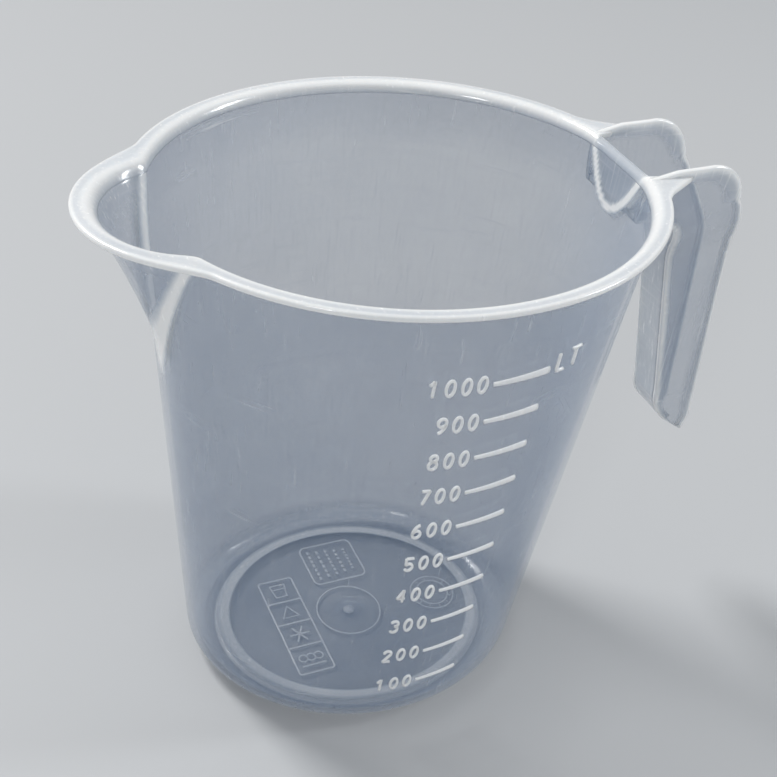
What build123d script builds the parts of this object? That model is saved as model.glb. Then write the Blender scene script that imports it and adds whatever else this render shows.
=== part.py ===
from build123d import *
import math
import os

os.makedirs("parts", exist_ok=True)

# One litre measuring jug, millimetres. +Z is up and Z = 0 is the table.
# The jug's axis is Z, the spout points along -X and the handle along +X.

# ---- body: a slightly oval cone, longer along the spout and handle line ----
HEIGHT = 150.0            # table to the top of the rim
LENGTHWISE = 1.07         # stretch of every body section along X
CROSSWISE = 0.93          # stretch of every body section along Y
TOP_RADIUS = 60.0         # mean outer radius at HEIGHT
BASE_RADIUS = 46.0        # mean outer radius at the table
WALL = 1.6                # wall thickness
FOOT_HEIGHT = 1.0         # the floor's underside stands this far off the table
FLOOR = 1.6               # floor thickness
HEEL_RADIUS = 8.0         # outside rounding between the floor and the wall
HEEL_TOP = 12.0           # height where the plain wall begins
FOOT_RADIUS = 38.8        # mean outer radius of the foot ring
FOOT_WIDTH = 2.0

# ---- rim ----
RIM_PROJECTION = 3.2
RIM_THICKNESS = 1.6
RIM_UNDERSIDE = HEIGHT - RIM_THICKNESS

# ---- spout: circular sections whose centres lie on the -X side ----
SPOUT_SECTIONS = (        # height, centre x, outer radius
    (HEIGHT, -53.0, 23.6),
    (130.0, -53.2, 13.8),
    (104.0, -53.6, 4.2),
)
SPOUT_BLEND = 14.0        # plan radius where the rim runs out onto the spout

# ---- handle: an open hook of two cheeks joined by a web ----
FLAT_X = 62.6             # outer face of the flat panel between the cheeks
CHEEK = 1.8               # cheek thickness
GRIP_HALF = 6.5           # centre plane to a cheek's outer face, along the grip
SPLAY = ((122.0, 6.5), (136.0, 13.4), (154.0, 14.8))   # height, centre plane to the outer face
HANDLE_TOP = 151.8
HANDLE_FOOT = 54.5
WEB_SHIFT_X = 1.9         # thickness of the web across the grip
WEB_SHIFT_Z = 1.4         # thickness of the web under the top arm
RIM_RUNOUT = 75.0         # x where the rim's flange tapers out on a cheek
RUNOUT_WIDTHS = (11.0, 21.6, 14.4)   # y inside, outside at the rim, outside at the tip

# ---- raised marks ----
RELIEF = 0.45             # how far a mark stands off its surface
FIRST_LINE = 18.4         # height of the 100 mL line
FIRST_GAP = 12.9          # from the 100 mL line to the 200 mL line
GAP_SHRINK = 0.2          # each gap is this much less than the one below it
TICK_SWEEP = 14.1         # a tick's sweep round the wall, degrees
TICK_THIN = 1.1           # bar height at a tick's left end
TICK_THICK = 2.1          # bar height at its right end
DIGIT_HEIGHT = 5.2
DIGIT_WIDTH = 2.7
DIGIT_PITCH = 3.8
STROKE = 0.75
BASE_MARK = 0.3           # relief of the marks under the floor
FLOOR_UNDERSIDE = FOOT_HEIGHT
FLOOR_TOP = FOOT_HEIGHT + FLOOR


def outer_radius(z):
    """Mean outer radius of the wall at height z."""
    return BASE_RADIUS + (TOP_RADIUS - BASE_RADIUS) * z / HEIGHT


def oval(radius):
    return Ellipse(radius * LENGTHWISE, radius * CROSSWISE)


def oval_cone(z0, r0, z1, r1):
    return loft([Plane.XY.offset(z0) * oval(r0), Plane.XY.offset(z1) * oval(r1)], ruled=True)


def oval_disc(z0, z1, radius):
    return extrude(Plane.XY.offset(z0) * oval(radius), z1 - z0)


def slab(x0, x1, y0, y1, z0, z1):
    size = (x1 - x0, y1 - y0, z1 - z0)
    return Pos((x0 + x1) / 2, (y0 + y1) / 2, (z0 + z1) / 2) * Box(*size)


def round_bottom(solid, z, radius):
    edges = [e for e in solid.edges() if abs(e.center().Z - z) < 0.01]
    return fillet(edges, radius)


# ---- the solids that everything is cut from ----
def cup(inset, bottom, heel):
    """The body's cone, inset from the outer surface, with its flat side at +X."""
    solid = oval_cone(bottom, outer_radius(bottom) - inset, HEIGHT, outer_radius(HEIGHT) - inset)
    solid = round_bottom(solid, bottom, heel)
    return solid - slab(FLAT_X - inset, FLAT_X + 40, -60, 60, -5, HEIGHT + 5)


def spout_horn(inset):
    rings = [Pos(x, 0, z) * Circle(r - inset) for z, x, r in SPOUT_SECTIONS]
    return loft(rings)


cup_outer = cup(0, FOOT_HEIGHT, HEEL_RADIUS)
cup_inner = cup(WALL, FLOOR_TOP, HEEL_RADIUS - WALL)
horn_outer = spout_horn(0)
horn_inner = spout_horn(WALL)
shell = cup_outer - cup_inner
below_rim = slab(-100, 100, -80, 80, -5, RIM_UNDERSIDE)
inside_flat_panel = slab(0, FLAT_X, -60, 60, 0, 200)


# ---- body regions ----
def make_floor_panel():
    return shell & oval_disc(0, FLOOR_TOP, FOOT_RADIUS - FOOT_WIDTH)


def make_base_heel(floor_panel):
    return (shell & slab(-100, 100, -80, 80, -5, HEEL_TOP)) - floor_panel


def make_foot_ring():
    ring = oval_disc(0, FOOT_HEIGHT + 3, FOOT_RADIUS)
    ring -= oval_disc(-1, FOOT_HEIGHT + 4, FOOT_RADIUS - FOOT_WIDTH)
    return ring - cup_outer


def upright():
    return (shell & slab(-100, 100, -80, 80, HEEL_TOP, RIM_UNDERSIDE)) - horn_inner


def make_handle_flat_panel():
    return upright() & slab(FLAT_X - WALL, FLAT_X, -40, 40, 0, HEIGHT)


def make_container_wall():
    return upright() - slab(FLAT_X - WALL, FLAT_X + 5, -40, 40, 0, HEIGHT)


def make_pouring_spout():
    return (horn_outer - horn_inner - cup_outer) & below_rim


# ---- rim ----
def rim_plan(grow):
    """Plan of the mouth: the oval and the spout circle, blended where they cross."""
    radius = outer_radius(HEIGHT)
    _, centre, horn = SPOUT_SECTIONS[0]
    plan = Ellipse(radius * LENGTHWISE + grow, radius * CROSSWISE + grow)
    plan += Pos(centre, 0) * Circle(horn + grow)
    corners = [v for v in plan.vertices() if abs(v.Y) > 10]
    return fillet(corners, SPOUT_BLEND)


def make_rim_flange(cheeks):
    underside = Plane.XY.offset(RIM_UNDERSIDE)
    ring = extrude(underside * rim_plan(RIM_PROJECTION), RIM_THICKNESS) - cup_inner - horn_inner
    ring -= slab(FLAT_X, 100, -80, 80, 0, 200)
    inner, outer, tip = RUNOUT_WIDTHS
    for side in (-1, 1):
        corners = [(FLAT_X, inner), (FLAT_X, outer), (RIM_RUNOUT, tip), (RIM_RUNOUT, inner)]
        plan = make_face(Polyline(*[(x, side * y) for x, y in corners], close=True))
        ring += extrude(underside * plan, RIM_THICKNESS, dir=(0, 0, 1))
    half = splayed_half(HEIGHT) - CHEEK / 2
    between = slab(FLAT_X, 100, -half, half, 0, 200)
    return ring - between - cheeks


# ---- handle ----
def handle_side_view():
    """Side view of the hook on XZ."""
    with BuildLine(Plane.XZ) as line:
        Polyline((50, 137.5), (50, HEIGHT), (FLAT_X, HEIGHT), (70, HANDLE_TOP), (79, HANDLE_TOP))
        ThreePointArc((79, HANDLE_TOP), (89.0, 148.9), (93.2, 141.0))
        ThreePointArc((93.2, 141.0), (97.9, 131.8), (101.4, 121.0))
        Polyline((101.4, 121.0), (105.5, 64), (104.0, HANDLE_FOOT), (98.5, 58.5))
        ThreePointArc((98.5, 58.5), (92.8, 63.6), (90.2, 72))
        Line((90.2, 72), (79.6, 124))
        ThreePointArc((79.6, 124), (75.2, 132.4), (66, 136.4))
        Line((66, 136.4), (50, 137.5))
    return make_face(line.line)


def splayed_half(z):
    """Centre plane to a cheek's outer face at height z."""
    for (z0, y0), (z1, y1) in zip(SPLAY, SPLAY[1:]):
        if z0 <= z <= z1:
            return y0 + (y1 - y0) * (z - z0) / (z1 - z0)
    return GRIP_HALF


def cheek_strip(side):
    """End view of one cheek, on YZ."""
    outer = [(GRIP_HALF, 40.0)] + [(y, z) for z, y in SPLAY]
    inner = [(y - CHEEK, z) for y, z in reversed(outer)]
    return make_face(Plane.YZ * Polyline(*[(side * y, z) for y, z in outer + inner], close=True))


def between_cheeks():
    """End view of the space between the cheeks, on YZ."""
    right = [(GRIP_HALF - CHEEK, 40.0)] + [(y - CHEEK, z) for z, y in SPLAY]
    left = [(-y, z) for y, z in reversed(right)]
    return make_face(Plane.YZ * Polyline(*(right + left), close=True))


def make_cheek(side):
    view = extrude(handle_side_view(), 40, both=True)
    strip = extrude(cheek_strip(side), 130, dir=(1, 0, 0))
    return (view & strip) - inside_flat_panel


def make_handle_web():
    view = extrude(handle_side_view(), 40, both=True)
    band = view - Pos(WEB_SHIFT_X, 0, WEB_SHIFT_Z) * view
    return (band & extrude(between_cheeks(), 130, dir=(1, 0, 0))) - inside_flat_panel


# ---- graduations ----
def line_height(step):
    """Height of the line for step hundred millilitres; the gaps shrink as the jug widens."""
    return FIRST_LINE + sum(FIRST_GAP - GAP_SHRINK * i for i in range(step - 1))


def front_layer():
    """Thin layer on the front of the wall that the marks are cut from."""
    grown = oval_cone(0, outer_radius(0) + RELIEF, HEIGHT, outer_radius(HEIGHT) + RELIEF)
    core = oval_cone(0, outer_radius(0), HEIGHT, outer_radius(HEIGHT))
    return (grown - core) & slab(-30, 40, -80, 0, HEEL_TOP, RIM_UNDERSIDE)


def raise_from(faces):
    """Solid through the front of the jug, seen from -Y."""
    return extrude(faces, 40, dir=(0, -1, 0))


FRONT = Plane(origin=(0, -30, 0), x_dir=(1, 0, 0), z_dir=(0, -1, 0))


def make_ticks(layer):
    bars = []
    for step in range(1, 11):
        z = line_height(step)
        length = outer_radius(z) * LENGTHWISE * math.sin(math.radians(TICK_SWEEP))
        grow = 0.6 + 0.4 * step / 10
        low, high = TICK_THIN * grow / 2, TICK_THICK * grow / 2
        wedge = Polyline((0, z - low), (length, z - high), (length, z + high), (0, z + low), close=True)
        bars.append(raise_from(FRONT * make_face(wedge)) & layer)
    return Compound(children=[s for bar in bars for s in bar.solids()])


def ring_of(width, height):
    return Ellipse(width / 2, height / 2) - Ellipse(width / 2 - STROKE, height / 2 - STROKE)


def bar_line(*points):
    """Stroke along straight runs."""
    faces = []
    for (x0, y0), (x1, y1) in zip(points, points[1:]):
        length = math.hypot(x1 - x0, y1 - y0) + STROKE * 0.6
        angle = math.degrees(math.atan2(y1 - y0, x1 - x0))
        faces.append(Pos((x0 + x1) / 2, (y0 + y1) / 2) * Rot(0, 0, angle) * Rectangle(length, STROKE))
    result = faces[0]
    for face in faces[1:]:
        result += face
    return result


def arc_stroke(cx, cy, rx, ry, start, end):
    """Part of an oval stroke, from start to end degrees, anticlockwise."""
    whole = Ellipse(rx, ry) - Ellipse(rx - STROKE, ry - STROKE)
    steps = 6
    reach = 3 * max(rx, ry)
    fan = [(0, 0)]
    for i in range(steps + 1):
        a = math.radians(start + (end - start) * i / steps)
        fan.append((reach * math.cos(a), reach * math.sin(a)))
    return Pos(cx, cy) * (whole & make_face(Polyline(*fan, close=True)))


def digit(character):
    """One numeral, centred on its own origin."""
    w, h = DIGIT_WIDTH, DIGIT_HEIGHT
    x, y, s = w / 2 - STROKE / 2, h / 2 - STROKE / 2, STROKE / 2
    low, high = h * 0.30, h * 0.27
    if character == "0":
        return ring_of(w, h)
    if character == "1":
        return bar_line((0, -y), (0, y)) + bar_line((-0.9, y - 1.0), (0, y))
    if character == "2":
        return arc_stroke(0, y + s - high, w / 2, high, -20, 170) + bar_line((x, y - high), (-x, -y), (x, -y))
    if character == "3":
        upper = arc_stroke(0, h / 2 - high, w / 2, high, -95, 160)
        return upper + arc_stroke(0, -h / 2 + low, w / 2, low, -160, 95)
    if character == "4":
        return bar_line((x * 0.5, -y), (x * 0.5, y), (-x, -y * 0.35), (x, -y * 0.35))
    if character == "5":
        return bar_line((x, y), (-x, y), (-x, 0.1)) + arc_stroke(0, -h / 2 + low, w / 2, low, -150, 140)
    if character == "6":
        return Pos(0, -h / 2 + low) * ring_of(w, 2 * low) + bar_line((-x * 0.9, -y * 0.3), (x * 0.6, y))
    if character == "7":
        return bar_line((-x, y), (x, y), (-x * 0.3, -y))
    if character == "8":
        upper = ring_of(w * 0.86, 0.46 * h)
        return Pos(0, -h / 2 + low) * ring_of(w, 2 * low) + Pos(0, h / 2 - 0.23 * h) * upper
    return Rot(0, 0, 180) * digit("6")


def make_numerals(layer):
    solids = []
    for step in range(1, 11):
        z = line_height(step)
        text = str(step * 100)
        for place, character in enumerate(reversed(text)):
            x = -2.7 - DIGIT_PITCH * place
            solids += (raise_from(FRONT * Pos(x, z + 0.4) * digit(character)) & layer).solids()
    return Compound(children=solids)


def make_litre_mark(layer):
    z = line_height(10) + 1.2
    letter_l = bar_line((17.6, z + 2.6), (17.6, z - 2.6), (19.8, z - 2.6))
    letter_t = bar_line((21.4, z + 2.6), (24.2, z + 2.6)) + bar_line((22.8, z + 2.6), (22.8, z - 2.6))
    solids = []
    for letter in (letter_l, letter_t):
        solids += (raise_from(FRONT * letter) & layer).solids()
    return Compound(children=solids)


# ---- marks under the floor ----
UNDER = Plane.XY.offset(FLOOR_UNDERSIDE - BASE_MARK)


def under_floor(sketch):
    return extrude(UNDER * sketch, BASE_MARK)


def outline(width, height, line, corner=0):
    whole = RectangleRounded(width, height, corner) if corner else Rectangle(width, height)
    inside = width - 2 * line, height - 2 * line
    hole = RectangleRounded(*inside, corner - line) if corner else Rectangle(*inside)
    return whole - hole


PANEL_X = -17.8                         # middle of the pictogram panel
PANEL_CELLS = (9.4, 9.0, 9.4, 10.6)     # cell heights from the top
PANEL_TOP = 18.4                        # y of the panel's top edge
PANEL_WIDTH = 11.2
LINE = 0.6                              # width of a line under the floor


def make_pictogram_panel():
    """Four framed cells with a tumbler, a triangle, a snow star and a plate rack."""
    total = sum(PANEL_CELLS)
    sketch = Pos(PANEL_X, PANEL_TOP - total / 2) * outline(PANEL_WIDTH, total, LINE)
    top = PANEL_TOP
    centres = []
    for cell in PANEL_CELLS:
        centres.append(top - cell / 2)
        top -= cell
        if top > PANEL_TOP - total + 1:
            sketch += Pos(PANEL_X, top) * Rectangle(PANEL_WIDTH - LINE, LINE)
    tumbler = Pos(PANEL_X, centres[0]) * (Trapezoid(5.4, 5.0, 80) - Trapezoid(4.0, 3.6, 80))
    triangle = Pos(PANEL_X, centres[1]) * (RegularPolygon(3.4, 3) - RegularPolygon(2.2, 3))
    star = Pos(PANEL_X, centres[2]) * Circle(0.9)
    for turn in range(3):
        star += Pos(PANEL_X, centres[2]) * Rot(0, 0, 60 * turn) * Rectangle(6.4, LINE)
    rack = Pos(PANEL_X, centres[3] - 2.2) * Rectangle(7.2, LINE)
    for place in range(-1, 2):
        rack += Pos(PANEL_X + 2.3 * place, centres[3] + 0.6) * (Circle(1.5) - Circle(0.9))
    solids = []
    for piece in (sketch, tumbler, triangle, star, rack):
        solids += under_floor(piece).solids()
    return Compound(children=solids)


def make_bar_block():
    """Rounded frame with five plain bars."""
    frame = Pos(2.8, 20.8) * outline(17.6, 17.0, 0.5, 2.0)
    solids = under_floor(frame).solids()
    for row in range(5):
        length = 13.5 - 0.9 * row
        solids += under_floor(Pos(-3.4 + 2.9 * row, 20.8) * Rectangle(1.3, length)).solids()
    return Compound(children=solids)


def make_base_circles():
    """A plain circle round the gate and a small mould dial beside it."""
    centre = Circle(10.0) - Circle(9.6)
    dial = Pos(28.0, -1.2) * (Circle(7.0) - Circle(6.6) + (Circle(5.2) - Circle(4.9)))
    solids = under_floor(centre).solids() + under_floor(dial).solids()
    return Compound(children=solids)


def make_gate_nub():
    return Pos(0, 0, FLOOR_UNDERSIDE) * Cone(0.9, 1.6, 0.7, align=(Align.CENTER, Align.CENTER, Align.MAX))


def main():
    floor_panel = make_floor_panel()
    near_cheek = make_cheek(-1)
    far_cheek = make_cheek(1)
    layer = front_layer()
    nodes = {
        "floor_panel": floor_panel,
        "base_heel": make_base_heel(floor_panel),
        "foot_ring": make_foot_ring(),
        "container_wall": make_container_wall(),
        "handle_flat_panel": make_handle_flat_panel(),
        "pouring_spout": make_pouring_spout(),
        "rim_flange": make_rim_flange(near_cheek + far_cheek),
        "handle_near_cheek": near_cheek,
        "handle_far_cheek": far_cheek,
        "handle_web": make_handle_web(),
        "graduation_ticks": make_ticks(layer),
        "graduation_numerals": make_numerals(layer),
        "litre_mark": make_litre_mark(layer),
        "gate_nub": make_gate_nub(),
        "base_circles": make_base_circles(),
        "base_pictograms": make_pictogram_panel(),
        "base_bar_block": make_bar_block(),
    }
    for name, shape in nodes.items():
        export_step(shape, f"parts/{name}.step")
        print(name, len(shape.solids()), round(shape.volume, 1), shape.is_valid)


main()
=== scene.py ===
import math

import bpy
import bmesh
from mathutils import Matrix, Vector


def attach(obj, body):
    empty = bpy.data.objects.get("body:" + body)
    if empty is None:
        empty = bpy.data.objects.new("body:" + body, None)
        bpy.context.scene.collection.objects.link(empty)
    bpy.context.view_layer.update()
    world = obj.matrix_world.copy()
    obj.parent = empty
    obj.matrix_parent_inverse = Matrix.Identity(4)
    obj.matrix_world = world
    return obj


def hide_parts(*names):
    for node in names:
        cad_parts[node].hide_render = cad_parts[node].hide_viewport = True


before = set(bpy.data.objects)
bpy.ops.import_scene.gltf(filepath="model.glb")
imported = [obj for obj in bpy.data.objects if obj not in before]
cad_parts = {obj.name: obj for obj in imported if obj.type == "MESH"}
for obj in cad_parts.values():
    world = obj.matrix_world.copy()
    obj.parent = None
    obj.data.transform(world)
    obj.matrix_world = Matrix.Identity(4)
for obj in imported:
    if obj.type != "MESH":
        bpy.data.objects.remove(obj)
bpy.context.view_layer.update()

MM = 0.001

# ---------------------------------------------------------------- camera
EYE = (-0.1297, -0.2449, 0.2926)
HEADING = math.radians(28.5)
DOWN = math.radians(36.55)
ROLL = math.radians(7.87)
LENS = 59.47
camera = bpy.data.objects.new("camera", bpy.data.cameras.new("camera"))
turn = Matrix.Rotation(-HEADING, 4, "Z") @ Matrix.Rotation(math.pi / 2 - DOWN, 4, "X")
turn = turn @ Matrix.Rotation(ROLL, 4, "Z")
camera.matrix_world = Matrix.Translation(EYE) @ turn
camera.data.lens = LENS
camera.data.sensor_width = 36.0
camera.data.clip_start = 0.01
bpy.context.collection.objects.link(camera)
bpy.context.scene.camera = camera

# ---------------------------------------------------------------- shape of the jug, millimetres
HEIGHT = 150.0
LENGTHWISE, CROSSWISE = 1.07, 0.93      # the oval: stretch along X and along Y
BASE_RADIUS, TOP_RADIUS = 46.0, 60.0
WALL = 1.6
FLOOR_LOW, FLOOR_HIGH = 1.0, 2.6
HEEL = 8.0
FLAT_X = 62.6                           # outer face of the flat panel behind the handle
PANEL_ROUNDING = 1.2
SPOUT_ROUNDING = 2.4
RIM_LOW = 148.4
RIM_OUT = 3.2                           # how far the rim stands out from the wall
LIP = 2.4                               # radius of the rounded inner edge of the rim
TAPER = (TOP_RADIUS - BASE_RADIUS) / HEIGHT
# the spout's sections: height, centre x, radius
SPOUT = ((104.0, -53.6, 4.2), (130.0, -53.2, 13.8), (150.0, -53.0, 23.6))


def mean_radius(z):
    return BASE_RADIUS + TAPER * z


def smooth_max(a, b, k):
    h = max(k - abs(a - b), 0.0) / k
    return max(a, b) + h * h * k / 4


def smooth_min(a, b, k):
    return -smooth_max(-a, -b, k)


def oval_reach(angle, rx, ry):
    return 1 / math.hypot(math.cos(angle) / rx, math.sin(angle) / ry)


def spout_circle(z):
    """Centre and radius of the spout's section, a parabola through three heights."""
    (z0, x0, r0), (z1, x1, r1), (z2, x2, r2) = SPOUT
    a = (z - z1) * (z - z2) / ((z0 - z1) * (z0 - z2))
    b = (z - z0) * (z - z2) / ((z1 - z0) * (z1 - z2))
    c = (z - z0) * (z - z1) / ((z2 - z0) * (z2 - z1))
    return a * x0 + b * x1 + c * x2, a * r0 + b * r1 + c * r2


def spout_reach(angle, z, grow):
    if z < SPOUT[0][0]:
        return 0.0
    centre, radius = spout_circle(z)
    inside = (radius + grow) ** 2 - (centre * math.sin(angle)) ** 2
    if inside <= 0 or math.cos(angle) > 0:
        return 0.0
    return centre * math.cos(angle) + math.sqrt(inside)


def wall_reach(angle, mean, z, inset):
    """Distance from the axis to the wall in one direction; mean is the section's mean radius."""
    reach = oval_reach(angle, mean * LENGTHWISE, mean * CROSSWISE)
    if math.cos(angle) > 0.5:
        reach = smooth_min(reach, (FLAT_X - inset) / math.cos(angle), PANEL_ROUNDING)
    spout = spout_reach(angle, z, -inset)
    return smooth_max(reach, spout, SPOUT_ROUNDING) if spout else reach


def ring_columns(count, extra=()):
    angles = [2 * math.pi * i / count for i in range(count)]
    angles = [a for a in angles if all(abs(a - e) > 0.003 for e in extra)]
    return sorted(angles + list(extra))


def make_object(name, verts, faces, milk):
    """One closed mesh piece; milk is how thick and cloudy the plastic looks at each point, and on the rim's
    rounded edges it also holds a painted highlight.
    """
    mesh = bpy.data.meshes.new(name)
    mesh.from_pydata([tuple(c * MM for c in v) for v in verts], [], faces)
    mesh.validate()
    layer = mesh.attributes.new("milk", "FLOAT", "POINT")
    layer.data.foreach_set("value", milk)
    bm = bmesh.new()
    bm.from_mesh(mesh)
    bmesh.ops.recalc_face_normals(bm, faces=bm.faces)
    bm.to_mesh(mesh)
    bm.free()
    mesh.shade_smooth()
    obj = bpy.data.objects.new(name, mesh)
    bpy.context.collection.objects.link(obj)
    return obj


def bridge(faces, row_a, row_b, wrap=True):
    count = len(row_a)
    for i in range(count if wrap else count - 1):
        j = (i + 1) % count
        faces.append((row_a[i], row_a[j], row_b[j], row_b[i]))


# ---------------------------------------------------------------- body
CLEAR_FLOOR = -0.10     # cloudiness: below 0 is clearer than the wall, 1 is milky white
HEEL_CLOUD = 0.28
RIM_GLOW = 0.18         # cloudiness that the wall gains towards the rim
CREASE_CLOUD = 0.9


def body_profile():
    """Rows from the floor's underside, up the outside, over the top and down the inside.

    A row is (mean radius, height, inset from the outside, cloudiness).
    """
    rows = []
    heel_x = mean_radius(HEEL + FLOOR_LOW) - HEEL * math.hypot(1, TAPER)
    floor_rows = [(mean, CLEAR_FLOOR) for mean in (6, 14, 22, 30, 35.8)] + [(36.6, 1.0), (38.4, 1.0)]
    for mean, cloud in floor_rows:
        rows.append((mean, FLOOR_LOW, 0, cloud))
    lean = math.degrees(math.atan(TAPER))
    for i in range(13):
        a = math.radians(-90 + (90 - lean) * i / 12)
        cloud = HEEL_CLOUD * math.sin(math.pi * i / 12)
        rows.append((heel_x + HEEL * math.cos(a), FLOOR_LOW + HEEL + HEEL * math.sin(a), 0, cloud))
    z = 12.0
    while z < 102:
        rows.append((mean_radius(z), z, 0, 0.0))
        z += 5.0
    while z < RIM_LOW:
        rows.append((mean_radius(z), z, 0, 0.0))
        z += 1.2
    top = RIM_LOW + 0.5
    rows.append((mean_radius(top), top, 0.1, 0.5))
    rows.append((mean_radius(top) - WALL / 2, top, WALL / 2, 0.5))
    while z > 104:
        z -= 1.2
        if z < HEIGHT - LIP:
            rows.append((mean_radius(z) - WALL, z, WALL, 0.0))
    while z > 14:
        z -= 5.0
        rows.append((mean_radius(z) - WALL, z, WALL, 0.0))
    inner = HEEL - WALL
    inner_x = mean_radius(inner + FLOOR_HIGH) - WALL - inner * math.hypot(1, TAPER)
    for i in range(11):
        a = math.radians(-lean - (90 - lean) * i / 10)
        cloud = HEEL_CLOUD * math.sin(math.pi * i / 10)
        rows.append((inner_x + inner * math.cos(a), FLOOR_HIGH + inner + inner * math.sin(a), WALL, cloud))
    for mean, cloud in reversed(floor_rows):
        rows.append((mean - WALL, FLOOR_HIGH, WALL, 0.7 * cloud))
    return rows


def crease(angle, z, inset):
    """How near a point is to the line where the spout leaves the wall."""
    if z < SPOUT[0][0] or math.cos(angle) > 0:
        return 0.0
    mean = mean_radius(z) - inset
    gap = spout_reach(angle, z, -inset) - oval_reach(angle, mean * LENGTHWISE, mean * CROSSWISE)
    inner_slope = 0.45 * max(0.0, min(1.0, (z - 136) / 12)) if gap > 0 else 0.0
    return max(inner_slope, min(1.0, 1.5 - abs(gap) / 1.7))


def panel_edge(angle, z, inset):
    """How near a point is to the line where the flat panel leaves the wall."""
    if math.cos(angle) < 0.8 or z < 125:
        return 0.0
    mean = mean_radius(z) - inset
    reach = oval_reach(angle, mean * LENGTHWISE, mean * CROSSWISE)
    gap = reach * math.cos(angle) - (FLAT_X - inset)
    slope = math.hypot(0.1, 0.021 * reach * math.sin(angle))
    return min(1.0, max(0.3 if gap > 0 else 0.0, 1.7 - abs(gap) / slope))


def make_body():
    angles = ring_columns(600)
    verts, faces, milk = [(0, 0, FLOOR_LOW)], [], [0.2]
    previous = None
    for mean, z, inset, cloud in body_profile():
        row = []
        for a in angles:
            reach = wall_reach(a, mean, z, inset)
            row.append(len(verts))
            verts.append((reach * math.cos(a), reach * math.sin(a), z))
            glow = RIM_GLOW * max(0.0, min(1.0, (z - 132) / 16))
            edges = max(glow, CREASE_CLOUD * crease(a, z, inset), panel_edge(a, z, inset))
            milk.append(cloud if cloud < 0 else max(cloud, edges))
        if previous is None:
            for i in range(len(row)):
                faces.append((0, row[(i + 1) % len(row)], row[i]))
        else:
            bridge(faces, previous, row)
        previous = row
    verts.append((0, 0, FLOOR_HIGH))
    milk.append(0.2)
    last = len(verts) - 1
    for i in range(len(previous)):
        faces.append((previous[i], previous[(i + 1) % len(previous)], last))
    return make_object("jug_body", verts, faces, milk)


def lathe(name, angles, section, cloud, fade=lambda a: 1.0):
    """A ring whose section is a closed list of functions of the angle, each giving (reach, height)."""
    verts, faces, rows, milk = [], [], [], []
    for place, level in zip(section, cloud):
        row = []
        for a in angles:
            reach, z = place(a)
            row.append(len(verts))
            verts.append((reach * math.cos(a), reach * math.sin(a), z))
            milk.append(level * fade(a))
        rows.append(row)
    for i in range(len(rows)):
        bridge(faces, rows[i], rows[(i + 1) % len(rows)])
    return make_object(name, verts, faces, milk)


# ---------------------------------------------------------------- rim
STEP_ANGLE = math.radians(10.87)
RUNOUT_ROOT = (62.6, 21.6)
RUNOUT_TIP = (75.0, 14.4)


def rim_reach(angle):
    """Plan of the rim's outer edge: the oval, the spout's curve and the run-outs on to the handle."""
    rx = TOP_RADIUS * LENGTHWISE + RIM_OUT
    ry = TOP_RADIUS * CROSSWISE + RIM_OUT
    reach = oval_reach(angle, rx, ry)
    spout = spout_reach(angle, HEIGHT, RIM_OUT)
    if spout:
        reach = smooth_max(reach, spout, 9.0)
    around = abs((angle + math.pi) % (2 * math.pi) - math.pi)
    if around < STEP_ANGLE:
        return FLAT_X / math.cos(around)
    if around < math.radians(24):
        (x0, y0), (x1, y1) = RUNOUT_ROOT, RUNOUT_TIP
        nx, ny = y0 - y1, x1 - x0
        line = (nx * x0 + ny * y0) / (nx * math.cos(around) + ny * math.sin(around))
        reach = smooth_max(reach, line if around < math.radians(20) else 0.0, 2.5)
    return reach


def make_rim():
    step = STEP_ANGLE
    extra = [step, step - 0.004, 2 * math.pi - step, 2 * math.pi - step + 0.004]
    angles = ring_columns(480, extra)

    def outer(pull, z):
        return lambda a: (rim_reach(a) - pull, z)

    def outside_wall(z):
        return lambda a: (min(wall_reach(a, mean_radius(z), z, 0) - 0.2, rim_reach(a) - 0.25), z)

    def inside_wall(grow, z):
        return lambda a: (min(wall_reach(a, mean_radius(z) - WALL, z, WALL) + grow, rim_reach(a) - 0.75), z)

    def lip(degrees):
        t = math.radians(degrees)
        return inside_wall(LIP * (1 - math.cos(t)) - 0.02, HEIGHT - LIP * (1 - math.sin(t)))

    def top_face(t):
        edge, inner = outer(0.7, HEIGHT), lip(90)
        return lambda a: ((1 - t) * edge(a)[0] + t * inner(a)[0], HEIGHT)

    section = [
        outside_wall(RIM_LOW + 0.05),
        outer(0.7, RIM_LOW), outer(0.28, RIM_LOW + 0.12), outer(0.06, RIM_LOW + 0.4),
        outer(0, RIM_LOW + 0.8),
        outer(0.06, HEIGHT - 0.4), outer(0.28, HEIGHT - 0.12), outer(0.7, HEIGHT),
        top_face(0.3), top_face(0.7),
        lip(90), lip(75), lip(60), lip(45), lip(30), lip(15), lip(0),
        inside_wall(-0.02, HEIGHT - LIP - 0.5), inside_wall(0.5, HEIGHT - LIP - 0.6),
    ]
    # The rim is whiter on its rounded outer edge and inner lip than on its flat top. This is partly thicker
    # milky plastic and partly a painted highlight on those rounded edges.
    edge_milk_and_highlight = [0.6, 0.7, 0.9, 1.0, 1.0, 1.0, 1.0, 0.85]
    lip_milk_and_highlight = [0.75, 0.9, 1.0, 1.0, 0.9, 0.7, 0.5]
    cloud = edge_milk_and_highlight + [0.62, 0.62] + lip_milk_and_highlight + [0.3, 0.3]

    def fade(a):
        return 0.45 if math.cos(a) > math.cos(step - 0.005) else 1.0

    return lathe("rim", angles, section, cloud, fade)


def make_foot_ring():
    def at(mean, z):
        return lambda a: (oval_reach(a, mean * LENGTHWISE, mean * CROSSWISE), z)

    section = [
        at(36.8, 1.25), at(36.8, 0.5), at(36.95, 0.15), at(37.3, 0.0), at(38.3, 0.0), at(38.65, 0.15),
        at(38.8, 0.5), at(38.8, 1.25),
    ]
    return lathe("foot_ring", ring_columns(360), section, [1.0] * len(section))


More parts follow.
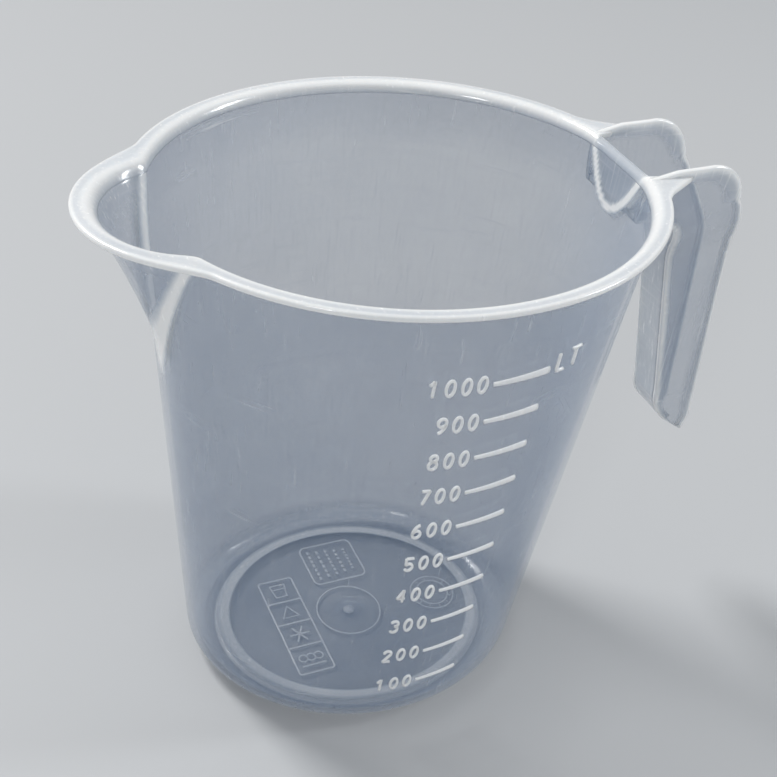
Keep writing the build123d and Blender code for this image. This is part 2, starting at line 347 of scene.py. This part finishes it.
# ---------------------------------------------------------------- handle
def arc_through(p, q, r, count):
    """Points along the circle from p through q to r."""
    (ax, ay), (bx, by), (cx, cy) = p, q, r
    d = 2 * (ax * (by - cy) + bx * (cy - ay) + cx * (ay - by))
    a2, b2, c2 = ax * ax + ay * ay, bx * bx + by * by, cx * cx + cy * cy
    ux = (a2 * (by - cy) + b2 * (cy - ay) + c2 * (ay - by)) / d
    uy = (a2 * (cx - bx) + b2 * (ax - cx) + c2 * (bx - ax)) / d
    start = math.atan2(ay - uy, ax - ux)
    middle = math.atan2(by - uy, bx - ux)
    end = math.atan2(cy - uy, cx - ux)
    radius = math.hypot(ax - ux, ay - uy)
    sweep = (end - start) % (2 * math.pi)
    if (middle - start) % (2 * math.pi) > sweep:
        sweep -= 2 * math.pi
    turns = [start + sweep * i / count for i in range(count + 1)]
    return [(ux + radius * math.cos(t), uy + radius * math.sin(t)) for t in turns]


def straight(p, q, count):
    return [(p[0] + (q[0] - p[0]) * i / count, p[1] + (q[1] - p[1]) * i / count) for i in range(count)]


# corners of the hook's side view, x and z
ROOT_TOP, ROOT_UNDER = (61.6, 149.8), (61.6, 136.6)
ARM_START, ARM_HIGH, ARM_END = (63.5, 150.2), (70.0, 151.6), (79.0, 151.8)
SHOULDER, GRIP_TOP, GRIP_END = (93.2, 141.0), (101.4, 121.0), (105.5, 64.0)
TIP, TIP_INSIDE = (104.0, 54.7), (98.5, 58.5)
ARM_UNDER, FINGER_TOP, FINGER_END = (66.0, 136.4), (79.6, 124.0), (90.2, 72.0)

HOOK_OUTSIDE = (
    straight(ROOT_TOP, ARM_START, 2) + straight(ARM_START, ARM_HIGH, 4)
    + straight(ARM_HIGH, ARM_END, 6)
    + arc_through(ARM_END, (89.0, 148.9), SHOULDER, 10)[:-1]
    + arc_through(SHOULDER, (97.9, 131.8), GRIP_TOP, 10)[:-1]
    + straight(GRIP_TOP, GRIP_END, 28)
    + arc_through(GRIP_END, (105.3, 58.0), TIP, 6)
)
HOOK_INSIDE = (
    straight(ROOT_UNDER, ARM_UNDER, 6)
    + arc_through(ARM_UNDER, (75.2, 132.4), FINGER_TOP, 24)[:-1]
    + straight(FINGER_TOP, FINGER_END, 24)
    + arc_through(FINGER_END, (92.8, 63.6), TIP_INSIDE, 12)
)
CHEEK_HALF = 0.9            # half a cheek's thickness
GRIP_MIDDLE = 5.6           # centre plane to the middle of a cheek, along the grip
SPLAY_START = 122.0         # the cheeks lean outwards above this height
SPLAY_SLOPE = 0.493
SPLAY_END = 136.0           # and stand nearly upright again above this one
SPLAY_REACH = 6.9
ARM_SLOPE = 0.078
WEB_FRONT, WEB_BACK = 0.05, 1.75    # depth of the web's two faces behind the finger edge
WEB_CLOUD = 0.55


def spread(z):
    """Middle of a cheek's thickness, out from the centre plane, at height z."""
    bend = SPLAY_SLOPE * smooth_max(z - SPLAY_START, 0.0, 4.0)
    return GRIP_MIDDLE + smooth_min(bend, SPLAY_REACH + ARM_SLOPE * max(0.0, z - SPLAY_END), 2.5)


def make_cheek(name, side):
    """A cheek as a strip of cross-sections, each a thin plate with rounded edges."""
    across = (0.0, 0.0, 0.02, 0.06, 0.12, 0.3, 0.5, 0.7, 0.88, 0.94, 0.98, 1.0, 1.0)
    lift = (0.35, 0.62, 0.85, 0.95, 1.0, 1.0, 1.0, 1.0, 1.0, 0.95, 0.85, 0.62, 0.35)
    verts, faces, milk, previous, first = [], [], [], None, None
    for (x0, z0), (x1, z1) in zip(HOOK_INSIDE, HOOK_OUTSIDE):
        run = math.hypot(x1 - x0, z1 - z0)
        row = []
        for sign in (1, -1):
            order = range(len(across)) if sign > 0 else reversed(range(len(across)))
            for k in order:
                t = across[k]
                edge = (0.25 if k in (1, 11) else 0.0) / run
                t = t + edge if k < 6 else t - edge
                x, z = x0 + (x1 - x0) * t, z0 + (z1 - z0) * t
                y = spread(z) + sign * CHEEK_HALF * lift[k]
                row.append(len(verts))
                verts.append((x, side * y, z))
                near_edge = min(t, 1 - t) * run
                band = 4.0 if t > 0.5 and z > 140 else 2.2
                milk.append(max(0.0, min(1.0, 1.15 - near_edge / band)))
        if previous is None:
            first = row
        else:
            bridge(faces, previous, row)
        previous = row
    faces.append(tuple(first))
    faces.append(tuple(reversed(previous)))
    return make_object(name, verts, faces, milk)


def make_web():
    verts, faces, milk, previous, first = [], [], [], None, None
    path = HOOK_INSIDE
    for i, (x, z) in enumerate(path):
        before, after = path[max(i - 1, 0)], path[min(i + 1, len(path) - 1)]
        dx, dz = after[0] - before[0], after[1] - before[1]
        size = math.hypot(dx, dz)
        nx, nz = -dz / size, dx / size
        row = []
        steps = 8
        there, back = range(-steps, steps + 1), range(steps, -steps - 1, -1)
        for depth, order in ((WEB_FRONT, there), (WEB_BACK, back)):
            px, pz = x + nx * depth, z + nz * depth
            half = spread(pz) - 0.55
            for k in order:
                row.append(len(verts))
                verts.append((px, half * k / steps, pz))
                milk.append(WEB_CLOUD)
        if previous is None:
            first = row
        else:
            bridge(faces, previous, row)
        previous = row
    faces.append(tuple(first))
    faces.append(tuple(reversed(previous)))
    return make_object("handle_web", verts, faces, milk)


# ---------------------------------------------------------------- raised marks
LEFT_SIDE = ((-1.0, -0.35), (-1.0, 0.3), (-0.78, 0.75), (-0.35, 1.0))
SECTION = LEFT_SIDE + tuple((-side, height) for side, height in reversed(LEFT_SIDE))
RELIEF = 0.45


def on_front(x, z, out):
    mean = mean_radius(z)
    rx, ry = mean * LENGTHWISE, mean * CROSSWISE
    y = -ry * math.sqrt(1 - (x / rx) ** 2)
    nx, ny = x / rx ** 2, y / ry ** 2
    size = math.hypot(nx, ny)
    return x + nx / size * out, y + ny / size * out, z - TAPER * out


def under_floor(x, y, out):
    return x, y, FLOOR_LOW - out


def sweep(store, place, path, widths, relief, closed=False):
    """Rounded bead along a path drawn on a surface."""
    verts, faces = store
    rows = []
    count = len(path)
    for i, (u, v) in enumerate(path):
        if closed:
            before, after = path[i - 1], path[(i + 1) % count]
        else:
            before, after = path[max(i - 1, 0)], path[min(i + 1, count - 1)]
        du, dv = after[0] - before[0], after[1] - before[1]
        size = math.hypot(du, dv) or 1.0
        nu, nv = -dv / size, du / size
        width = widths if isinstance(widths, float) else widths[i]
        row = []
        for side, height in SECTION:
            reach = side * width / 2
            row.append(len(verts))
            verts.append(place(u + nu * reach, v + nv * reach, height * relief))
        rows.append(row)
    for a, b in zip(rows, rows[1:]):
        bridge(faces, a, b)
    if closed:
        bridge(faces, rows[-1], rows[0])
    else:
        faces.append(tuple(rows[0]))
        faces.append(tuple(reversed(rows[-1])))


def oval_path(cx, cy, rx, ry, start=0.0, end=360.0, count=28):
    whole = abs(end - start) >= 360
    points = []
    for i in range(count if whole else count + 1):
        a = math.radians(start + (end - start) * i / count)
        points.append((cx + rx * math.cos(a), cy + ry * math.sin(a)))
    return points


DIGIT_W, DIGIT_H, STROKE = 2.7, 5.2, 0.75
DX, DY = (DIGIT_W - STROKE) / 2, (DIGIT_H - STROKE) / 2


def dense(points, step=0.5):
    """The same polyline with points no further apart than step."""
    result = []
    for p, q in zip(points, points[1:]):
        count = max(1, math.ceil(math.hypot(q[0] - p[0], q[1] - p[1]) / step))
        result += straight(p, q, count)
    return result + [points[-1]]


def strokes_of(character):
    """Strokes of one numeral, each a path and whether it is closed."""
    low = DY * 0.56
    high = DY * 0.50
    if character == "0":
        return [(oval_path(0, 0, DX, DY), True)]
    if character == "1":
        return [(dense([(0, -DY), (0, DY)]), False), (dense([(-0.95, DY - 1.1), (0, DY)]), False)]
    if character == "2":
        curve = oval_path(0, DY - high, DX, high, 165, -25, 16)
        diagonal = dense([curve[-1], (-DX, -DY)])[1:]
        return [(curve + diagonal, False), (dense([(-DX, -DY), (DX, -DY)]), False)]
    if character == "3":
        upper = oval_path(0, DY - high, DX, high, 150, -90, 16)
        lower = oval_path(0, -DY + low, DX, low, 90, -150, 16)
        return [(upper, False), (lower, False)]
    if character == "4":
        stem = dense([(0.45 * DX, -DY), (0.45 * DX, DY)])
        slope = dense([(0.45 * DX, DY), (-DX, -0.4 * DY)])
        bar = dense([(-DX, -0.4 * DY), (DX, -0.4 * DY)])
        return [(stem, False), (slope, False), (bar, False)]
    if character == "5":
        bowl = oval_path(0, -DY + low, DX, low, 140, -150, 18)
        bar = dense([(DX, DY), (-DX * 0.9, DY)])
        stem = dense([(-DX * 0.9, DY), bowl[0]])
        return [(bar, False), (stem, False), (bowl, False)]
    if character == "6":
        stem = oval_path(DX * 0.9, -DY + low, DX * 1.9, 2 * DY - low, 175, 98, 12)
        return [(oval_path(0, -DY + low, DX, low), True), (stem, False)]
    if character == "7":
        return [(dense([(-DX, DY), (DX, DY)]), False), (dense([(DX, DY), (-DX * 0.35, -DY)]), False)]
    if character == "8":
        return [(oval_path(0, -DY + low, DX, low), True), (oval_path(0, low, DX * 0.84, DY - low), True)]
    return [([(-x, -y) for x, y in path], closed) for path, closed in strokes_of("6")]


def tick_geometry():
    """Height and length of each graduation line, from its CAD solid's own extent."""
    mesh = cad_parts["graduation_ticks"].data
    bm = bmesh.new()
    bm.from_mesh(mesh)
    bmesh.ops.remove_doubles(bm, verts=bm.verts, dist=1e-6)
    left = set(bm.verts)
    lines = []
    while left:
        stack, island = [left.pop()], []
        while stack:
            v = stack.pop()
            island.append(v.co.copy())
            for e in v.link_edges:
                o = e.other_vert(v)
                if o in left:
                    left.remove(o)
                    stack.append(o)
        xs = [c.x / MM for c in island]
        zs = [c.z / MM for c in island]
        lines.append(((min(zs) + max(zs)) / 2, max(xs), max(zs) - min(zs)))
    bm.free()
    return sorted(lines)


def make_graduations():
    lines = tick_geometry()
    ticks, numbers = ([], []), ([], [])
    for step, (z, length, thick) in enumerate(lines, 1):
        count = 14
        path = [(length * i / count, z) for i in range(count + 1)]
        widths = [thick * (0.52 + 0.48 * i / count) for i in range(count + 1)]
        sweep(ticks, on_front, path, widths, RELIEF)
        for place, character in enumerate(reversed(str(step * 100))):
            centre = -2.7 - 3.8 * place
            for stroke, closed in strokes_of(character):
                moved = [(centre + u, z + 0.4 + v) for u, v in stroke]
                sweep(numbers, on_front, moved, STROKE, RELIEF, closed)
    z = lines[-1][0] + 1.2
    litre = ([], [])
    low, high = z - 2.6, z + 2.6
    letter_l = [(17.6, high), (17.6, low), (19.8, low)]
    bar_of_t, stem_of_t = [(21.4, high), (24.2, high)], [(22.8, high), (22.8, low)]
    for run in (letter_l, bar_of_t, stem_of_t):
        sweep(litre, on_front, dense(run), STROKE, RELIEF)
    return (
        make_object("graduation_lines", *ticks, [0.8] * len(ticks[0])),
        make_object("graduation_numbers", *numbers, [0.8] * len(numbers[0])),
        make_object("litre_mark_relief", *litre, [0.8] * len(litre[0])),
    )


def rounded_box(cx, cy, width, height, corner, count=5):
    points = []
    for sx, sy, start in ((1, 1, 0), (-1, 1, 90), (-1, -1, 180), (1, -1, 270)):
        ox, oy = cx + sx * (width / 2 - corner), cy + sy * (height / 2 - corner)
        points += oval_path(ox, oy, corner, corner, start, start + 90, count)
    return points


def make_base_marks():
    store = ([], [])
    relief = 0.3
    line = 0.55

    def draw(path, closed=False, width=line):
        sweep(store, under_floor, path, width, relief, closed)

    draw(oval_path(0, 0, 9.8, 9.8, count=72), True, 0.4)
    for radius in (6.8, 5.0):
        draw(oval_path(28.0, -1.2, radius, radius, count=48), True, 0.4)
    for i in range(12):
        a = 2 * math.pi * i / 12
        draw([(28.0 + r * math.cos(a), -1.2 + r * math.sin(a)) for r in (5.4, 6.3)], False, 0.3)
    draw(rounded_box(2.8, 20.8, 17.2, 16.6, 2.0), True)
    for row in range(5):
        half = (13.5 - 0.9 * row) / 2
        x = -3.4 + 2.9 * row
        count = 7 - row % 2
        for piece in range(count):
            start = 20.8 - half + 2 * half * piece / count
            draw(dense([(x, start + 0.25), (x, start + 2 * half / count - 0.35)], 1.0), False, 0.9)
    cx, top = -17.8, 18.4
    cells = (9.4, 9.0, 9.4, 10.6)
    draw(rounded_box(cx, top - sum(cells) / 2, 10.9, sum(cells) - 0.3, 0.8), True)
    centres = []
    for cell in cells:
        centres.append(top - cell / 2)
        top -= cell
        if cell != cells[-1]:
            draw(dense([(cx - 5.3, top), (cx + 5.3, top)], 1.0))
    a, b, c, d = centres
    draw([(cx - 2.4, a + 2.5), (cx + 2.4, a + 2.5), (cx + 1.7, a - 2.5), (cx - 1.7, a - 2.5)], True)
    draw(dense([(cx - 2.1, a + 0.8), (cx + 2.1, a + 0.8)], 1.0), False, 0.35)
    corners = (math.pi / 2, math.pi * 7 / 6, math.pi * 11 / 6)
    draw([(cx + 3.0 * math.cos(t), b - 0.5 + 3.0 * math.sin(t)) for t in corners], True)
    for i in range(3):
        t = math.pi * i / 3
        dx, dy = 3.2 * math.cos(t), 3.2 * math.sin(t)
        draw(dense([(cx - dx, c - dy), (cx + dx, c + dy)], 1.0))
    draw(dense([(cx - 3.7, d - 2.3), (cx + 3.7, d - 2.3)], 1.0))
    for i in (-1, 0, 1):
        draw(oval_path(cx + 2.4 * i, d + 0.6, 1.3, 1.3, count=20), True, 0.4)
    marks = make_object("base_marks", *store, [0.9] * len(store[0]))
    verts, faces, rows = [], [], []
    for reach, z in ((1.7, 1.2), (1.6, 0.95), (1.3, 0.75), (1.0, 0.45), (0.75, 0.32)):
        rows.append([len(verts) + i for i in range(24)])
        verts += [(x, y, z) for x, y in oval_path(0, 0, reach, reach, count=24)]
    for p, q in zip(rows, rows[1:]):
        bridge(faces, p, q)
    faces += [tuple(rows[0]), tuple(reversed(rows[-1]))]
    return marks, make_object("gate_nub_relief", verts, faces, [0.9] * len(verts))


# ---------------------------------------------------------------- material
class Nodes:
    """Adds and links the shader nodes of one material."""

    def __init__(self, material):
        material.use_nodes = True
        self.nodes = material.node_tree.nodes
        self.links = material.node_tree.links
        self.shader = self.nodes["Principled BSDF"]

    def add(self, kind, **values):
        made = self.nodes.new(kind)
        for key, value in values.items():
            setattr(made, key, value)
        return made

    def link(self, output, name):
        self.links.new(output, self.shader.inputs[name])

    def math(self, operation, a, b, clamp=False):
        made = self.add("ShaderNodeMath", operation=operation, use_clamp=clamp)
        for socket, value in zip(made.inputs, (a, b)):
            if isinstance(value, (int, float)):
                socket.default_value = value
            else:
                self.links.new(value, socket)
        return made.outputs[0]

    def plus(self, total, amount, factor):
        """total + amount * factor"""
        return self.math("ADD", total, self.math("MULTIPLY", amount, factor))

    def noise(self, scale, detail, stretch=(1, 1, 1), rough=0.5):
        mapping = self.add("ShaderNodeMapping")
        mapping.inputs["Scale"].default_value = stretch
        place = self.add("ShaderNodeTexCoord").outputs["Object"]
        self.links.new(place, mapping.inputs["Vector"])
        made = self.add("ShaderNodeTexNoise")
        made.inputs["Scale"].default_value = scale
        made.inputs["Detail"].default_value = detail
        made.inputs["Roughness"].default_value = rough
        self.links.new(mapping.outputs[0], made.inputs["Vector"])
        return made.outputs["Fac"]


def scratches(make):
    """Fine scratches up the wall and round it."""
    upright = make.math("POWER", make.noise(900.0, 2.0, (1, 1, 0.03), 0.6), 7.0)
    around = make.math("POWER", make.noise(700.0, 2.0, (0.05, 0.05, 1.0), 0.6), 8.0)
    return make.math("MULTIPLY", make.math("MAXIMUM", upright, around), 6.0, True)


def edge_veil(make, strength):
    """The plastic looks denser where it is seen at a slant."""
    slant = make.add("ShaderNodeLayerWeight")
    slant.inputs["Blend"].default_value = 0.32
    return make.math("MULTIPLY", make.math("POWER", slant.outputs["Facing"], 1.6), strength)


def surface_bump(make, marks):
    """Sink waves, scratches and a fine grain."""
    sink = make.noise(60.0, 2.0, (1, 1, 0.35))
    height = make.plus(make.plus(sink, marks, 0.10), make.noise(2400.0, 3.0), 0.02)
    bump = make.add("ShaderNodeBump")
    bump.inputs["Strength"].default_value = 0.35
    bump.inputs["Distance"].default_value = 0.0006
    make.links.new(height, bump.inputs["Height"])
    return bump.outputs[0]


GLOSSY_PLASTIC = {
    "IOR": 1.49,
    "Specular IOR Level": 1.0,
    "Subsurface Weight": 0.25,
    "Subsurface Radius": (0.8, 0.9, 1.0),
    "Subsurface Scale": 0.003,
    "Coat Weight": 0.8,
    "Coat Roughness": 0.04,
}


def polypropylene(name, clear, cloud, tint, edge_tint, veil_strength):
    """Natural polypropylene: clear is the opacity of a thin wall, cloud what cloudiness adds."""
    material = bpy.data.materials.new(name)
    make = Nodes(material)
    milk = make.add("ShaderNodeAttribute", attribute_name="milk").outputs["Fac"]
    mottle = make.noise(28.0, 3.0)
    uneven = make.math("SUBTRACT", mottle, 0.5)
    marks = scratches(make)
    veil = edge_veil(make, veil_strength)

    level = make.math("ADD", make.math("MULTIPLY", milk, cloud), clear)
    level = make.plus(make.plus(level, uneven, 0.16), marks, 0.10)
    level = make.math("ADD", level, veil)
    make.link(make.math("MINIMUM", make.math("MAXIMUM", level, 0.03), 0.97), "Alpha")

    # Whiteness follows milk, so on the rim's rounded edges it also carries the painted highlight.
    whiteness = make.plus(make.plus(milk, uneven, 0.3), marks, 0.5)
    whiteness = make.math("ADD", whiteness, make.math("MULTIPLY", veil, 0.45), True)
    colour = make.add("ShaderNodeMix", data_type="RGBA")
    colour.inputs[6].default_value = (*tint, 1)
    colour.inputs[7].default_value = (*edge_tint, 1)
    make.links.new(whiteness, colour.inputs[0])
    make.link(colour.outputs[2], "Base Color")

    rough = make.plus(make.math("MULTIPLY", mottle, 0.12), marks, 0.25)
    make.link(make.math("ADD", rough, 0.10, True), "Roughness")
    make.link(surface_bump(make, marks), "Normal")
    for socket, value in GLOSSY_PLASTIC.items():
        make.shader.inputs[socket].default_value = value
    return material


BLUE_GREY = (0.13, 0.22, 0.36)
MILK_WHITE = (0.93, 0.94, 0.93)
thin = polypropylene("thin_polypropylene", 0.175, 0.76, BLUE_GREY, MILK_WHITE, 0.55)
thick = polypropylene("thick_polypropylene", 0.25, 0.62, (0.58, 0.66, 0.78), MILK_WHITE, 0.35)
relief_look = polypropylene("relief_polypropylene", 0.55, 0.42, (0.84, 0.88, 0.91), (0.96, 0.97, 0.97), 0.3)


def fit(piece, material, slot, *nodes):
    piece.data.materials.append(material)
    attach(piece, "root")
    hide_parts(*nodes)


BODY_NODES = ("container_wall", "handle_flat_panel", "base_heel", "floor_panel", "pouring_spout")
fit(make_body(), thin, "translucent_wall", *BODY_NODES)
fit(make_rim(), thick, "milky_edge", "rim_flange")
fit(make_foot_ring(), thick, "milky_edge", "foot_ring")
fit(make_cheek("near_cheek", -1), thin, "translucent_wall", "handle_near_cheek")
fit(make_cheek("far_cheek", 1), thin, "translucent_wall", "handle_far_cheek")
fit(make_web(), thin, "translucent_wall", "handle_web")
lines, numbers, litre = make_graduations()
fit(lines, relief_look, "raised_mark", "graduation_ticks")
fit(numbers, relief_look, "raised_mark", "graduation_numerals")
fit(litre, relief_look, "raised_mark", "litre_mark")
marks, nub = make_base_marks()
fit(marks, relief_look, "raised_mark", "base_circles", "base_pictograms", "base_bar_block")
fit(nub, relief_look, "raised_mark", "gate_nub")


# ---------------------------------------------------------------- floor and light
FLOOR_RADIUS = 6.0
FLOOR_GREY = (0.46, 0.47, 0.48, 1)
JUG_MIDDLE = (0, 0, 0.08)


def make_floor():
    mesh = bpy.data.meshes.new("floor")
    bm = bmesh.new()
    bmesh.ops.create_circle(bm, cap_ends=True, radius=FLOOR_RADIUS, segments=96)
    bm.to_mesh(mesh)
    bm.free()
    floor = bpy.data.objects.new("floor", mesh)
    bpy.context.collection.objects.link(floor)
    material = bpy.data.materials.new("floor_paint")
    material.use_nodes = True
    shader = material.node_tree.nodes["Principled BSDF"]
    shader.inputs["Base Color"].default_value = FLOOR_GREY
    shader.inputs["Roughness"].default_value = 0.55
    mesh.materials.append(material)


make_floor()


def area_light(name, place, size, power, colour):
    data = bpy.data.lights.new(name, "AREA")
    data.shape = "RECTANGLE"
    data.size, data.size_y = size
    data.energy = power
    data.color = colour
    light = bpy.data.objects.new(name, data)
    light.location = place
    light.rotation_euler = (Vector(JUG_MIDDLE) - Vector(place)).to_track_quat("-Z", "Y").to_euler()
    bpy.context.collection.objects.link(light)


area_light("key", (-0.45, 0.70, 0.95), (0.28, 0.28), 5.0, (1.0, 0.98, 0.95))
area_light("side", (0.95, -0.30, 0.70), (0.14, 0.45), 3.0, (0.95, 0.98, 1.0))
area_light("front", (-0.75, -0.85, 0.75), (0.22, 0.30), 2.5, (1.0, 1.0, 1.0))

sun_data = bpy.data.lights.new("sun", "SUN")
sun_data.energy = 1.3
sun_data.angle = math.radians(14)
sun = bpy.data.objects.new("sun", sun_data)
sun.rotation_euler = Vector((0.35, -0.55, -0.9)).to_track_quat("-Z", "Y").to_euler()
bpy.context.collection.objects.link(sun)

world = bpy.data.worlds.new("studio")
world.use_nodes = True
world.node_tree.nodes["Background"].inputs["Color"].default_value = (0.74, 0.76, 0.79, 1)
world.node_tree.nodes["Background"].inputs["Strength"].default_value = 0.60
bpy.context.scene.world = world
bpy.context.scene.view_settings.view_transform = "Standard"
bpy.context.scene.cycles.transparent_max_bounces = 32
